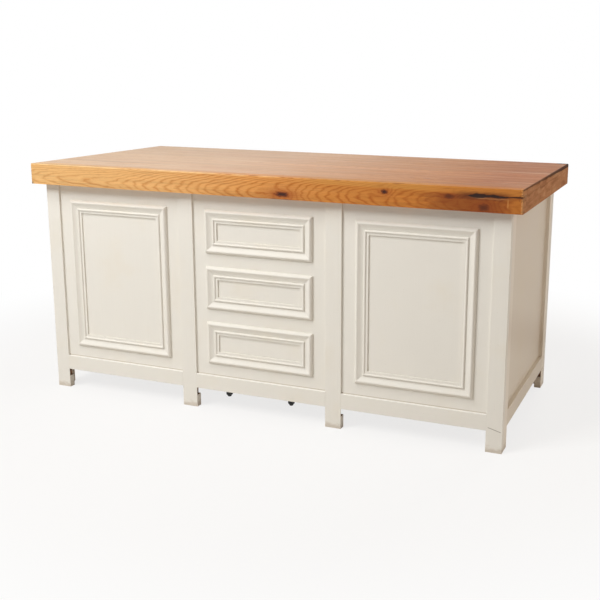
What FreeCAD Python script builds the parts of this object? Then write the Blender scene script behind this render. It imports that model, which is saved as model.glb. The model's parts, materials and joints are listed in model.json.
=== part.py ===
# Kitchen island unit: a thick oak plank worktop on a painted, panelled timber cabinet.
#
# Millimetres. +X runs along the panelled face, +Y from the panelled face to the working side
# with its doors and drawers, +Z up. The origin is on the floor under the worktop's centre.
import FreeCAD, Part
import math
import os
from FreeCAD import Vector

# Overall sizes
WORKTOP_LENGTH = 1900.0
WORKTOP_DEPTH = 900.0
WORKTOP_THICKNESS = 78.0
OVERALL_HEIGHT = 900.0
FRONT_OVERHANG = 35.0
REAR_OVERHANG = 75.0
SIDE_OVERHANG = 40.0

# Worktop planks
LIPPING_WIDTH = 45.0
REAR_PLANK_WIDTH = 160.0
MIDDLE_PLANKS = 3
WORKTOP_ROUND = 4.0

# Face frame boards
FRAME_THICKNESS = 26.0
CORNER_STILE_WIDTH = 57.0
MID_STILE_WIDTH = 61.0
SIDE_STILE_WIDTH = 44.0
RAIL_HEIGHT = 57.0
RAIL_BOTTOM = 76.0
TOP_RAIL_HEIGHT = 40.0
ARRIS_ROUND = 1.2

# Housings for the rails, left open below them, and rebates for the panels
HOUSING_DEPTH = 10.0
HOUSING_LIP = 1.5
HOUSING_DROP = 29.0
FRONT_PANEL_THICKNESS = 18.0
END_PANEL_THICKNESS = 13.0
PANEL_LAP = 10.0

# Applied panel moulding, measured from its outer edge inwards and up from the panel
MOULDING_WIDTH = 48.0
MOULDING_HEIGHT = 12.5
OUTER_EDGE = 3.5
SLOPE_WIDTH = 8.0
SLOPE_BELLY = 1.2
CREST_WIDTH = 3.0
CREST_DROP = 0.4
COVE_SAG = 1.3
COVE_FOOT = 3.5
BEAD_RADIUS = 4.2
FLAT_WIDTH = 8.5
INNER_EDGE = 5.0

# Places of the mouldings on the panels
SIDE_MARGIN = 50.0
BOTTOM_MARGIN = 48.0
TOP_MARGIN = 60.0
CENTRE_GAP = 50.0
CENTRE_FRAMES = 3

# Cabinet inside
PARTITION_THICKNESS = 18.0
BOTTOM_THICKNESS = 18.0
BOTTOM_STOP = 8.0
BEARER_WIDTH = 40.0
BEARER_CLEARANCE = 0.5
SHELF_THICKNESS = 18.0
SHELF_HEIGHT = 430.0
SHELF_SETBACK = 20.0
SHELF_CLEARANCE = 1.0
BATTEN_SIZE = 20.0
BATTEN_SETBACK = 29.0

# Doors and drawers of the working side
FRONT_GAP = 3.0
DOOR_THICKNESS = 25.0
DOOR_MARGIN = 53.0
DRAWER_COUNT = 3
DRAWER_FRONT_THICKNESS = 22.0
DRAWER_MARGIN = 32.0
BOX_DEPTH = 560.0
BOX_HEIGHT = 140.0
BOX_BOARD = 12.0
BOX_BASE = 6.0
BOX_BASE_RAISE = 8.0
BOX_GROOVE = 6.0
BOX_SIDE_GAP = 4.0
BOX_RAISE = 27.0
RUNNER_LEDGE = 18.0
RUNNER_LENGTH = 600.0
RUNNER_GUIDE = 20.0
RUNNER_REACH = 16.0
RUNNER_PLAY = 0.5
RUNNING_GAP = 0.3

# Turned knobs
KNOB_RADIUS = 17.0
KNOB_REACH = 28.0
KNOB_BASE_RADIUS = 10.0
KNOB_NECK_RADIUS = 7.0
KNOB_BASE_THICKNESS = 4.0
KNOB_HEAD_THICKNESS = 13.0
KNOB_UNDERCUT = 4.0
KNOB_BEVEL = 3.0
KNOB_DROP = 80.0

# Butt hinges
HINGE_HEIGHT = 76.0
HINGE_INSET = 90.0
LEAF_THICKNESS = 2.0
LEAF_WIDTH = 22.0
KNUCKLE_RADIUS = 4.5
KNUCKLE_CLEARANCE = 0.3
PIN_RADIUS = 2.0
PIN_CLEARANCE = 0.05

# Levelling feet under the centre bay
FOOT_LEFT_X = -208.0
FOOT_RIGHT_X = 60.0
FOOT_SETBACK = 150.0
FOOT_PAD_RADIUS = 8.0
FOOT_PAD_HEIGHT = 7.0
FOOT_GRIP_RADIUS = 13.0
FOOT_GRIP_HEIGHT = 15.0
FOOT_LOBES = 6
FOOT_LOBE_RADIUS = 4.0
FOOT_BEVEL = 2.0
STEM_RADIUS = 5.0
STEM_CLEARANCE = 0.05
STEM_TOP = 118.0
SOCKET_RADIUS = 12.0
SOCKET_DEPTH = 34.0
SOCKET_FLANGE_RADIUS = 20.0
SOCKET_FLANGE = 4.0
STEM_HOLE_CLEARANCE = 1.0

# Planes and openings that follow from the sizes above
HALF_LENGTH = WORKTOP_LENGTH / 2 - SIDE_OVERHANG
FRONT_FACE = FRONT_OVERHANG - WORKTOP_DEPTH / 2
REAR_FACE = WORKTOP_DEPTH / 2 - REAR_OVERHANG
FRONT_BACK = FRONT_FACE + FRAME_THICKNESS
REAR_BACK = REAR_FACE - FRAME_THICKNESS
END_BACK = HALF_LENGTH - FRAME_THICKNESS
TOP = OVERALL_HEIGHT - WORKTOP_THICKNESS
RAIL_TOP = RAIL_BOTTOM + RAIL_HEIGHT
FRONT_RECESS = FRAME_THICKNESS - FRONT_PANEL_THICKNESS
END_RECESS = FRAME_THICKNESS - END_PANEL_THICKNESS
PANEL_BOTTOM = RAIL_TOP - PANEL_LAP
BAY_WIDTH = 2 * (HALF_LENGTH - CORNER_STILE_WIDTH - MID_STILE_WIDTH) / 3
CENTRE_EDGE = BAY_WIDTH / 2
OUTER_BAY_LOW = CENTRE_EDGE + MID_STILE_WIDTH
OUTER_BAY_HIGH = OUTER_BAY_LOW + BAY_WIDTH
OUTER_BAY_CENTRE = (OUTER_BAY_LOW + OUTER_BAY_HIGH) / 2
SIDE_OPENING = (FRONT_BACK + SIDE_STILE_WIDTH, REAR_BACK - SIDE_STILE_WIDTH)
PARTITION_X = CENTRE_EDGE + MID_STILE_WIDTH / 2
PARTITION_INNER = PARTITION_X - PARTITION_THICKNESS / 2
PARTITION_OUTER = PARTITION_X + PARTITION_THICKNESS / 2
BOTTOM_TOP = RAIL_TOP + BOTTOM_STOP
BOTTOM_UNDER = BOTTOM_TOP - BOTTOM_THICKNESS
REAR_OPENING_TOP = TOP - TOP_RAIL_HEIGHT
FRONT_LOW = RAIL_TOP + FRONT_GAP
FRONT_HIGH = REAR_OPENING_TOP - FRONT_GAP
DRAWER_HEIGHT = (FRONT_HIGH - FRONT_LOW - (DRAWER_COUNT - 1) * FRONT_GAP) / DRAWER_COUNT
DRAWER_FRONT_BACK = REAR_FACE - DRAWER_FRONT_THICKNESS
PIN_X = OUTER_BAY_HIGH - FRONT_GAP / 2
PIN_Y = REAR_FACE + KNUCKLE_RADIUS + KNUCKLE_CLEARANCE


# ---------------------------------------------------------------- helpers
def board(x, y, z):
    """A squared board between three (low, high) pairs."""
    size = (x[1] - x[0], y[1] - y[0], z[1] - z[0])
    return Part.makeBox(*size, Vector(x[0], y[0], z[0]))


def eased(solid, axis, place, along=None):
    """Rounds the arrises that lie in the plane axis = place, all of them or those along one axis."""
    arrises = []
    for edge in solid.Edges:
        in_plane = abs(getattr(edge.CenterOfMass, axis) - place) < 0.01
        flat = abs(getattr(edge.tangentAt(edge.FirstParameter), axis)) < 0.01
        runs = along is None or abs(getattr(edge.tangentAt(edge.FirstParameter), along)) > 0.99
        if in_plane and flat and runs:
            arrises.append(edge)
    return solid.makeFillet(ARRIS_ROUND, arrises)


def mirrored(solid):
    """The same piece on the other side of the cabinet's middle plane."""
    return solid.mirror(Vector(0, 0, 0), Vector(1, 0, 0))


def turned(solid):
    """The same piece on the opposite face: half a turn about the vertical through the origin."""
    copy = solid.copy()
    copy.rotate(Vector(0, 0, 0), Vector(0, 0, 1), 180)
    return copy


def moved(solid, x=0.0, y=0.0, z=0.0):
    """A copy of the piece, shifted."""
    copy = solid.copy()
    copy.translate(Vector(x, y, z))
    return copy


def rod(radius, centre, bottom, top):
    """An upright cylinder at an (x, y) centre."""
    return Part.makeCylinder(radius, top - bottom, Vector(centre[0], centre[1], bottom))


def bowed(start, end, sag):
    """An arc from start to end that stands off its chord by sag, to the left where sag is positive."""
    chord = end - start
    aside = Vector(-chord.y, chord.x, 0).normalize() * sag
    return Part.Arc(start, (start + end) * 0.5 + aside, end).toShape()


def line(start, end):
    """A straight edge."""
    return Part.LineSegment(start, end).toShape()


def save(name, *solids):
    """Writes one piece, or one group of like pieces, to its own file."""
    shape = solids[0] if len(solids) == 1 else Part.makeCompound(list(solids))
    shape.exportStep(os.path.join("parts", name + ".step"))


# ---------------------------------------------------------------- worktop
def worktop_planks():
    """The front lipping, the middle planks and the rear plank, cut from one eased slab."""
    half_x, half_y = WORKTOP_LENGTH / 2, WORKTOP_DEPTH / 2
    slab = board((-half_x, half_x), (-half_y, half_y), (TOP, OVERALL_HEIGHT))
    outer = []
    for edge in slab.Edges:
        upright = abs(edge.tangentAt(edge.FirstParameter).z) > 0.99
        if upright or abs(edge.CenterOfMass.z - OVERALL_HEIGHT) < 0.01:
            outer.append(edge)
    slab = slab.makeFillet(WORKTOP_ROUND, outer)
    plank = (WORKTOP_DEPTH - LIPPING_WIDTH - REAR_PLANK_WIDTH) / MIDDLE_PLANKS
    joints = [-half_y, LIPPING_WIDTH - half_y]
    joints += [joints[1] + plank * (number + 1) for number in range(MIDDLE_PLANKS)]
    joints.append(half_y)
    strips = []
    for low, high in zip(joints, joints[1:]):
        strips.append(slab.common(board((-half_x, half_x), (low, high), (TOP, OVERALL_HEIGHT))))
    return strips


# ---------------------------------------------------------------- face frames
def rail_housing(edge_x, side, bottom=RAIL_BOTTOM - HOUSING_DROP):
    """The cut in a stile's edge that takes a rail's tongue, open below the rail."""
    x = sorted((edge_x, edge_x + side * HOUSING_DEPTH))
    return board(x, (FRONT_FACE + HOUSING_LIP, FRONT_BACK), (bottom, RAIL_TOP))


def panel_rebate(edge_x, side):
    """The rebate behind a stile's edge that takes a panel."""
    x = sorted((edge_x, edge_x + side * PANEL_LAP))
    return board(x, (FRONT_FACE + FRONT_RECESS, FRONT_BACK), (PANEL_BOTTOM, TOP))


def front_stile(low, high, inner_edges):
    """A front stile that runs down as a leg, cut for the rails and panels at its inner edges."""
    stile = board((low, high), (FRONT_FACE, FRONT_BACK), (0, TOP))
    stile = eased(stile, "y", FRONT_FACE, "z")
    for edge_x, side in inner_edges:
        stile = stile.cut(rail_housing(edge_x, side)).cut(panel_rebate(edge_x, side))
    return stile


def tongued_rail(low, high):
    """A bottom rail of the front, bare-faced tongues at its ends."""
    height = (RAIL_BOTTOM, RAIL_TOP)
    rail = eased(board((low, high), (FRONT_FACE, FRONT_BACK), height), "y", FRONT_FACE, "x")
    for end in ((low - HOUSING_DEPTH, low), (high, high + HOUSING_DEPTH)):
        rail = rail.fuse(board(end, (FRONT_FACE + HOUSING_LIP, FRONT_BACK), height))
    return rail


def front_rail(low, high):
    """A front bottom rail, with the panel's rebate along its back."""
    lap = (low - PANEL_LAP, high + PANEL_LAP)
    rebate = board(lap, (FRONT_FACE + FRONT_RECESS, FRONT_BACK), (PANEL_BOTTOM, RAIL_TOP))
    return tongued_rail(low, high).cut(rebate)


def front_panel(low, high):
    """A flat panel held in the rebates of two stiles and a rail."""
    return board((low - PANEL_LAP, high + PANEL_LAP), (FRONT_FACE + FRONT_RECESS, FRONT_BACK),
                 (PANEL_BOTTOM, TOP))


def to_rear(solid):
    """A copy of a piece of the front frame, turned round to the working side."""
    return moved(turned(solid), y=FRONT_FACE + REAR_FACE)


def rear_stile(low, high, top, inner_edges):
    """A rear stile that runs down as a leg, with the housings of the rails at its inner edges."""
    stile = eased(board((low, high), (FRONT_FACE, FRONT_BACK), (0, top)), "y", FRONT_FACE, "z")
    for edge_x, side in inner_edges:
        stile = stile.cut(rail_housing(edge_x, side))
    return to_rear(stile)


def end_housing(edge_y, side):
    """The cut in a side stile's edge that takes the side rail's tongue, open below the rail."""
    y = sorted((edge_y, edge_y + side * HOUSING_DEPTH))
    return board((END_BACK, HALF_LENGTH - HOUSING_LIP), y, (RAIL_BOTTOM - HOUSING_DROP, RAIL_TOP))


def end_rebate(edge_y, side):
    """The rebate behind a side stile's edge that takes the end panel."""
    y = sorted((edge_y, edge_y + side * PANEL_LAP))
    return board((END_BACK, HALF_LENGTH - END_RECESS), y, (PANEL_BOTTOM, TOP))


def side_stile(low, high, edge_y, side):
    """A side stile behind a corner stile; the two stand as one L-shaped leg."""
    stile = board((END_BACK, HALF_LENGTH), (low, high), (0, TOP))
    stile = eased(stile, "x", HALF_LENGTH, "z")
    return stile.cut(end_housing(edge_y, side)).cut(end_rebate(edge_y, side))


def side_rail():
    """The bottom rail of an end, with tongues and the end panel's rebate along its back."""
    low, high = SIDE_OPENING
    height = (RAIL_BOTTOM, RAIL_TOP)
    rail = eased(board((END_BACK, HALF_LENGTH), (low, high), height), "x", HALF_LENGTH, "y")
    for end in ((low - HOUSING_DEPTH, low), (high, high + HOUSING_DEPTH)):
        rail = rail.fuse(board((END_BACK, HALF_LENGTH - HOUSING_LIP), end, height))
    lap = (low - PANEL_LAP, high + PANEL_LAP)
    return rail.cut(board((END_BACK, HALF_LENGTH - END_RECESS), lap, (PANEL_BOTTOM, RAIL_TOP)))


def end_panel():
    """The large flat panel of an end."""
    low, high = SIDE_OPENING
    return board((END_BACK, HALF_LENGTH - END_RECESS), (low - PANEL_LAP, high + PANEL_LAP),
                 (PANEL_BOTTOM, TOP))


# ---------------------------------------------------------------- panel moulding
def moulding_section():
    """The moulding's section: low edge, rounded slope to the crest, cove, bead and a flat inside."""
    bead_out = MOULDING_WIDTH - FLAT_WIDTH
    bead_in = bead_out - 2 * BEAD_RADIUS
    foot, edge_top = Vector(0, 0, 0), Vector(0, OUTER_EDGE, 0)
    crest = Vector(SLOPE_WIDTH, MOULDING_HEIGHT, 0)
    cove_start = Vector(SLOPE_WIDTH + CREST_WIDTH, MOULDING_HEIGHT - CREST_DROP, 0)
    cove_end = Vector(bead_in, COVE_FOOT, 0)
    bead_start = Vector(bead_in, INNER_EDGE, 0)
    bead_top = Vector(bead_in + BEAD_RADIUS, INNER_EDGE + BEAD_RADIUS, 0)
    bead_end = Vector(bead_out, INNER_EDGE, 0)
    inner_top, inner_foot = Vector(MOULDING_WIDTH, INNER_EDGE, 0), Vector(MOULDING_WIDTH, 0, 0)
    edges = [
        line(foot, edge_top),
        bowed(edge_top, crest, SLOPE_BELLY),
        line(crest, cove_start),
        bowed(cove_start, cove_end, -COVE_SAG),
        line(cove_end, bead_start),
        Part.Arc(bead_start, bead_top, bead_end).toShape(),
        line(bead_end, inner_top),
        line(inner_top, inner_foot),
        line(inner_foot, foot),
    ]
    return Part.Face(Part.Wire(edges))


def moulding_length(length, offset):
    """One mitred length along X, its outer edge at z = -offset, standing off the face towards -Y."""
    section = moulding_section()
    section.rotate(Vector(0, 0, 0), Vector(1, 0, 1), 180)
    section.translate(Vector(-length / 2, 0, -offset))
    bar = section.extrude(Vector(length, 0, 0))
    inner = length / 2 - MOULDING_WIDTH
    corners = [Vector(-length / 2, 0, -offset), Vector(length / 2, 0, -offset),
               Vector(inner, 0, MOULDING_WIDTH - offset), Vector(-inner, 0, MOULDING_WIDTH - offset)]
    mitred = Part.Face(Part.makePolygon(corners + corners[:1]))
    return bar.common(mitred.extrude(Vector(0, -MOULDING_HEIGHT, 0)))


def moulding_frame(width, height):
    """Four mitred lengths round a rectangle centred on the origin, facing -Y."""
    lengths = []
    for quarter in range(4):
        along, across = (width, height) if quarter % 2 == 0 else (height, width)
        piece = moulding_length(along, across / 2)
        piece.rotate(Vector(0, 0, 0), Vector(0, 1, 0), 90 * quarter)
        lengths.append(piece)
    return lengths


def front_moulding(centre_x, low, high):
    """A moulding frame on a front panel, between two heights."""
    frame = moulding_frame(BAY_WIDTH - 2 * SIDE_MARGIN, high - low)
    return [moved(piece, centre_x, FRONT_FACE + FRONT_RECESS, (low + high) / 2) for piece in frame]


def rear_moulding(centre_x, width, low, high):
    """A moulding frame on a door or drawer front, between two heights."""
    frame = moulding_frame(width, high - low)
    return [moved(turned(piece), centre_x, REAR_FACE, (low + high) / 2) for piece in frame]


def centre_frame_heights():
    """The (low, high) heights of the moulding frames stacked on the centre panel."""
    low, high = RAIL_TOP + BOTTOM_MARGIN, TOP - TOP_MARGIN
    height = (high - low - (CENTRE_FRAMES - 1) * CENTRE_GAP) / CENTRE_FRAMES
    starts = [low + number * (height + CENTRE_GAP) for number in range(CENTRE_FRAMES)]
    return [(start, start + height) for start in starts]


# ---------------------------------------------------------------- cabinet inside
def bottom_board():
    """The cabinet's bottom, standing above the rails as a stop for the doors."""
    solid = board((-END_BACK, END_BACK), (FRONT_BACK, REAR_BACK), (BOTTOM_UNDER, BOTTOM_TOP))
    for foot_x in (FOOT_LEFT_X, FOOT_RIGHT_X):
        hole = rod(STEM_RADIUS + STEM_HOLE_CLEARANCE, (foot_x, FRONT_FACE + FOOT_SETBACK),
                   BOTTOM_UNDER, BOTTOM_TOP)
        solid = solid.cut(hole)
    return solid


def worktop_bearer(clearance=0.0):
    """The bearer under the worktop behind the front panels."""
    return board((-END_BACK, END_BACK), (FRONT_BACK, FRONT_BACK + BEARER_WIDTH + clearance),
                 (TOP - BEARER_WIDTH - clearance, TOP))


def partition():
    """The partition between the centre bay and the right bay, notched over the bearer."""
    solid = board((PARTITION_INNER, PARTITION_OUTER), (FRONT_BACK, REAR_BACK), (BOTTOM_TOP, TOP))
    return solid.cut(worktop_bearer(BEARER_CLEARANCE))


def shelf():
    """The shelf of the right cupboard."""
    x = (PARTITION_OUTER + SHELF_CLEARANCE, END_BACK - SHELF_CLEARANCE)
    return board(x, (FRONT_BACK + SHELF_CLEARANCE, REAR_BACK - SHELF_SETBACK),
                 (SHELF_HEIGHT, SHELF_HEIGHT + SHELF_THICKNESS))


def shelf_battens():
    """The two battens that carry the right cupboard's shelf."""
    y = (FRONT_BACK + BATTEN_SETBACK, REAR_BACK - BATTEN_SETBACK)
    z = (SHELF_HEIGHT - BATTEN_SIZE, SHELF_HEIGHT)
    inner = board((PARTITION_OUTER, PARTITION_OUTER + BATTEN_SIZE), y, z)
    outer = board((END_BACK - BATTEN_SIZE, END_BACK), y, z)
    return [inner, outer]


# ---------------------------------------------------------------- drawers
def drawer_low(number):
    """The height of a drawer front's lower edge, counted from the bottom."""
    return FRONT_LOW + number * (DRAWER_HEIGHT + FRONT_GAP)


def box_low(number):
    """The height of a drawer box's underside."""
    return drawer_low(number) + BOX_RAISE


def box_half():
    """Half the width of a drawer box."""
    return CENTRE_EDGE - BOX_SIDE_GAP


def drawer_front(number):
    """A drawer front with its applied moulding, which echoes the panelled face."""
    low, high = drawer_low(number), drawer_low(number) + DRAWER_HEIGHT
    half = CENTRE_EDGE - FRONT_GAP
    solid = eased(board((-half, half), (DRAWER_FRONT_BACK, REAR_FACE), (low, high)), "y", REAR_FACE)
    width = 2 * (half - DOOR_MARGIN)
    return [solid] + rear_moulding(0, width, low + DRAWER_MARGIN, high - DRAWER_MARGIN)


def drawer_base(number, margin=0.0):
    """The thin base of a drawer, let into grooves in the four boards."""
    inset = BOX_BOARD - BOX_GROOVE - margin
    half = box_half() - inset
    low = box_low(number) + BOX_BASE_RAISE
    y = (DRAWER_FRONT_BACK - BOX_DEPTH + inset, DRAWER_FRONT_BACK - inset)
    return board((-half, half), y, (low, low + BOX_BASE))


def drawer_box(number):
    """The four boards and the base of a drawer box."""
    half = box_half()
    z = (box_low(number), box_low(number) + BOX_HEIGHT)
    back, front = DRAWER_FRONT_BACK - BOX_DEPTH, DRAWER_FRONT_BACK
    inner = half - BOX_BOARD
    boards = [
        board((-half, -inner), (back, front), z),
        board((inner, half), (back, front), z),
        board((-inner, inner), (back, back + BOX_BOARD), z),
        board((-inner, inner), (front - BOX_BOARD, front), z),
    ]
    base = drawer_base(number)
    return [solid.cut(base) for solid in boards] + [base]


def drawer_runner(number):
    """The right-hand runner of a drawer: a ledge under the box and a guide beside it."""
    top = box_low(number) - RUNNING_GAP
    y = (REAR_BACK - RUNNER_LENGTH, REAR_BACK)
    ledge = board((box_half() - RUNNER_REACH, PARTITION_INNER), y, (top - RUNNER_LEDGE, top))
    guide = board((box_half() + RUNNER_PLAY, PARTITION_INNER), y, (top, top + RUNNER_GUIDE))
    return ledge.fuse(guide).removeSplitter()


# ---------------------------------------------------------------- doors, hinges and knobs
def hinge_heights():
    """The lower ends of a door's two hinges."""
    return (FRONT_LOW + HINGE_INSET, FRONT_HIGH - HINGE_INSET - HINGE_HEIGHT)


def leaf_plate(edge_x, side, low):
    """A hinge leaf's plate, let into the edge at edge_x on the given side."""
    x = sorted((edge_x, edge_x + side * LEAF_THICKNESS))
    return board(x, (REAR_FACE - LEAF_WIDTH, PIN_Y), (low, low + HINGE_HEIGHT))


def knuckle(low, high, margin=0.0):
    """A hinge knuckle, or the room round one where margin is given."""
    return rod(KNUCKLE_RADIUS + margin, (PIN_X, PIN_Y), low - margin, high + margin)


def frame_leaf(low):
    """The leaf on the stile, with the outer two knuckles."""
    third = HINGE_HEIGHT / 3
    leaf = leaf_plate(OUTER_BAY_HIGH, 1, low)
    leaf = leaf.fuse(knuckle(low, low + third)).fuse(knuckle(low + 2 * third, low + HINGE_HEIGHT))
    leaf = leaf.cut(knuckle(low + third, low + 2 * third, KNUCKLE_CLEARANCE))
    return leaf.cut(rod(PIN_RADIUS, (PIN_X, PIN_Y), low, low + HINGE_HEIGHT)).removeSplitter()


def door_leaf(low):
    """The leaf on the door, with the middle knuckle."""
    third = HINGE_HEIGHT / 3
    top = low + HINGE_HEIGHT
    leaf = leaf_plate(OUTER_BAY_HIGH - FRONT_GAP, -1, low)
    leaf = leaf.cut(knuckle(low, low + third, KNUCKLE_CLEARANCE))
    leaf = leaf.cut(knuckle(low + 2 * third, top, KNUCKLE_CLEARANCE))
    leaf = leaf.fuse(knuckle(low + third, low + 2 * third))
    return leaf.cut(rod(PIN_RADIUS + PIN_CLEARANCE, (PIN_X, PIN_Y), low, top)).removeSplitter()


def hinge_pin(low):
    """The pin through the knuckles, tight in those of the stile's leaf."""
    return rod(PIN_RADIUS, (PIN_X, PIN_Y), low, low + HINGE_HEIGHT)


def door():
    """The right door: a flat board with applied moulding, cut for its hinge leaves."""
    low_x, high_x = OUTER_BAY_LOW + FRONT_GAP, OUTER_BAY_HIGH - FRONT_GAP
    z = (FRONT_LOW, FRONT_HIGH)
    solid = eased(board((low_x, high_x), (REAR_FACE - DOOR_THICKNESS, REAR_FACE), z), "y", REAR_FACE)
    for low in hinge_heights():
        solid = solid.cut(leaf_plate(high_x, -1, low))
    width = high_x - low_x - 2 * DOOR_MARGIN
    return [solid] + rear_moulding(OUTER_BAY_CENTRE, width, z[0] + DOOR_MARGIN, z[1] - DOOR_MARGIN)


def hinged_stile():
    """The rear corner stile at the right, cut for the hinge leaves of the door."""
    stile = rear_stile(-HALF_LENGTH, -OUTER_BAY_HIGH, TOP, [(-OUTER_BAY_HIGH, -1)])
    for low in hinge_heights():
        stile = stile.cut(leaf_plate(OUTER_BAY_HIGH, 1, low))
    return stile


def knob(x, z):
    """A turned knob on the rear face: base, neck and a head bevelled front and back."""
    head = KNOB_REACH - KNOB_HEAD_THICKNESS
    outline = [
        Vector(0, 0, 0),
        Vector(KNOB_BASE_RADIUS, 0, 0),
        Vector(KNOB_BASE_RADIUS, KNOB_BASE_THICKNESS, 0),
        Vector(KNOB_NECK_RADIUS, KNOB_BASE_THICKNESS, 0),
        Vector(KNOB_NECK_RADIUS, head, 0),
        Vector(KNOB_RADIUS - KNOB_UNDERCUT, head, 0),
        Vector(KNOB_RADIUS, head + KNOB_UNDERCUT, 0),
        Vector(KNOB_RADIUS, KNOB_REACH - KNOB_BEVEL, 0),
        Vector(KNOB_RADIUS - KNOB_BEVEL, KNOB_REACH, 0),
        Vector(0, KNOB_REACH, 0),
    ]
    half = Part.Face(Part.makePolygon(outline + outline[:1]))
    return moved(half.revolve(Vector(0, 0, 0), Vector(0, 1, 0), 360), x, REAR_FACE, z)


# ---------------------------------------------------------------- levelling feet
def foot_place(x):
    """The (x, y) centre of a levelling foot."""
    return (x, FRONT_FACE + FOOT_SETBACK)


def foot(x):
    """A levelling foot: round pad, lobed grip and stem."""
    centre = foot_place(x)
    pad = rod(FOOT_PAD_RADIUS, centre, 0, FOOT_PAD_HEIGHT)
    pad = pad.makeChamfer(FOOT_BEVEL, [edge for edge in pad.Edges if edge.CenterOfMass.z < 0.01])
    grip_top = FOOT_PAD_HEIGHT + FOOT_GRIP_HEIGHT
    grip = rod(FOOT_GRIP_RADIUS, centre, FOOT_PAD_HEIGHT, grip_top)
    grip = grip.makeChamfer(FOOT_BEVEL, [edge for edge in grip.Edges if len(edge.Vertexes) == 1])
    for number in range(FOOT_LOBES):
        angle = 2 * math.pi * (number + 0.5) / FOOT_LOBES
        reach = FOOT_GRIP_RADIUS + FOOT_LOBE_RADIUS / 2
        scallop = (centre[0] + reach * math.cos(angle), centre[1] + reach * math.sin(angle))
        grip = grip.cut(rod(FOOT_LOBE_RADIUS, scallop, FOOT_PAD_HEIGHT, grip_top))
    stem = rod(STEM_RADIUS, centre, FOOT_PAD_HEIGHT, STEM_TOP)
    return pad.fuse(grip).fuse(stem).removeSplitter()


def foot_socket(x):
    """The socket under the bottom board that a levelling foot's stem runs in."""
    centre = foot_place(x)
    barrel = rod(SOCKET_RADIUS, centre, BOTTOM_UNDER - SOCKET_DEPTH, BOTTOM_UNDER)
    flange = rod(SOCKET_FLANGE_RADIUS, centre, BOTTOM_UNDER - SOCKET_FLANGE, BOTTOM_UNDER)
    bore = rod(STEM_RADIUS + STEM_CLEARANCE, centre, BOTTOM_UNDER - SOCKET_DEPTH, BOTTOM_UNDER)
    return barrel.fuse(flange).cut(bore).removeSplitter()


# ---------------------------------------------------------------- the pieces
def save_worktop():
    """Writes the planks of the worktop."""
    planks = worktop_planks()
    save("worktop_front_lipping", planks[0])
    for number, plank in enumerate(planks[1:-1], 1):
        save(f"worktop_plank_{number}", plank)
    save("worktop_rear_plank", planks[-1])


def save_front():
    """Writes the panelled face: stiles, rails, panels and mouldings."""
    corner = front_stile(OUTER_BAY_HIGH, HALF_LENGTH, [(OUTER_BAY_HIGH, 1)])
    middle = front_stile(CENTRE_EDGE, OUTER_BAY_LOW, [(CENTRE_EDGE, 1), (OUTER_BAY_LOW, -1)])
    rail, panel = front_rail(OUTER_BAY_LOW, OUTER_BAY_HIGH), front_panel(OUTER_BAY_LOW, OUTER_BAY_HIGH)
    low, high = RAIL_TOP + BOTTOM_MARGIN, TOP - TOP_MARGIN
    for side, place in (("right", lambda solid: solid), ("left", mirrored)):
        save(f"front_corner_stile_{side}", place(corner))
        save(f"front_mid_stile_{side}", place(middle))
        save(f"front_rail_{side}", place(rail))
        save(f"front_panel_{side}", place(panel))
    save("front_rail_centre", front_rail(-CENTRE_EDGE, CENTRE_EDGE))
    save("front_panel_centre", front_panel(-CENTRE_EDGE, CENTRE_EDGE))
    save("panel_moulding_right", *front_moulding(OUTER_BAY_CENTRE, low, high))
    save("panel_moulding_left", *front_moulding(-OUTER_BAY_CENTRE, low, high))
    for name, heights in zip(("bottom", "middle", "top"), centre_frame_heights()):
        save(f"panel_moulding_{name}", *front_moulding(0, *heights))


def save_ends():
    """Writes the two ends: side stiles, side rails and end panels."""
    low, high = SIDE_OPENING
    front, rear = side_stile(FRONT_BACK, low, low, -1), side_stile(high, REAR_BACK, high, 1)
    for side, place in (("right", lambda solid: solid), ("left", mirrored)):
        save(f"side_stile_{side}_front", place(front))
        save(f"side_stile_{side}_rear", place(rear))
        save(f"side_rail_{side}", place(side_rail()))
        save(f"end_panel_{side}", place(end_panel()))


def save_rear():
    """Writes the working side's face frame."""
    edges = [(-CENTRE_EDGE, -1), (-OUTER_BAY_LOW, 1)]
    corner, middle = hinged_stile(), rear_stile(-OUTER_BAY_LOW, -CENTRE_EDGE, REAR_OPENING_TOP, edges)
    for side, place in (("right", lambda solid: solid), ("left", mirrored)):
        save(f"rear_corner_stile_{side}", place(corner))
        save(f"rear_mid_stile_{side}", place(middle))
    bays = [(-OUTER_BAY_HIGH, -OUTER_BAY_LOW), (-CENTRE_EDGE, CENTRE_EDGE)]
    bays.append((OUTER_BAY_LOW, OUTER_BAY_HIGH))
    save("rear_bottom_rails", *[to_rear(tongued_rail(*bay)) for bay in bays])
    top_rail = board((-OUTER_BAY_HIGH, OUTER_BAY_HIGH), (REAR_BACK, REAR_FACE), (REAR_OPENING_TOP, TOP))
    save("rear_top_rail", eased(top_rail, "y", REAR_FACE, "x"))


def save_inside():
    """Writes what the cabinet holds: bottom, partitions, bearer, shelves, battens and runners."""
    save("bottom_board", bottom_board())
    save("worktop_bearer", worktop_bearer())
    save("partition_right", partition())
    save("partition_left", mirrored(partition()))
    save("shelves", shelf(), mirrored(shelf()))
    battens = shelf_battens()
    save("shelf_battens", *battens, *[mirrored(batten) for batten in battens])
    runners = [drawer_runner(number) for number in range(DRAWER_COUNT)]
    save("drawer_runners", *runners, *[mirrored(runner) for runner in runners])


def save_drawers():
    """Writes the drawers: front with its moulding, box and knob."""
    for number, name in enumerate(("bottom", "middle", "top")):
        save(f"drawer_front_{name}", *drawer_front(number))
        save(f"drawer_box_{name}", *drawer_box(number))
        save(f"drawer_knob_{name}", knob(0, drawer_low(number) + DRAWER_HEIGHT / 2))


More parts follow.
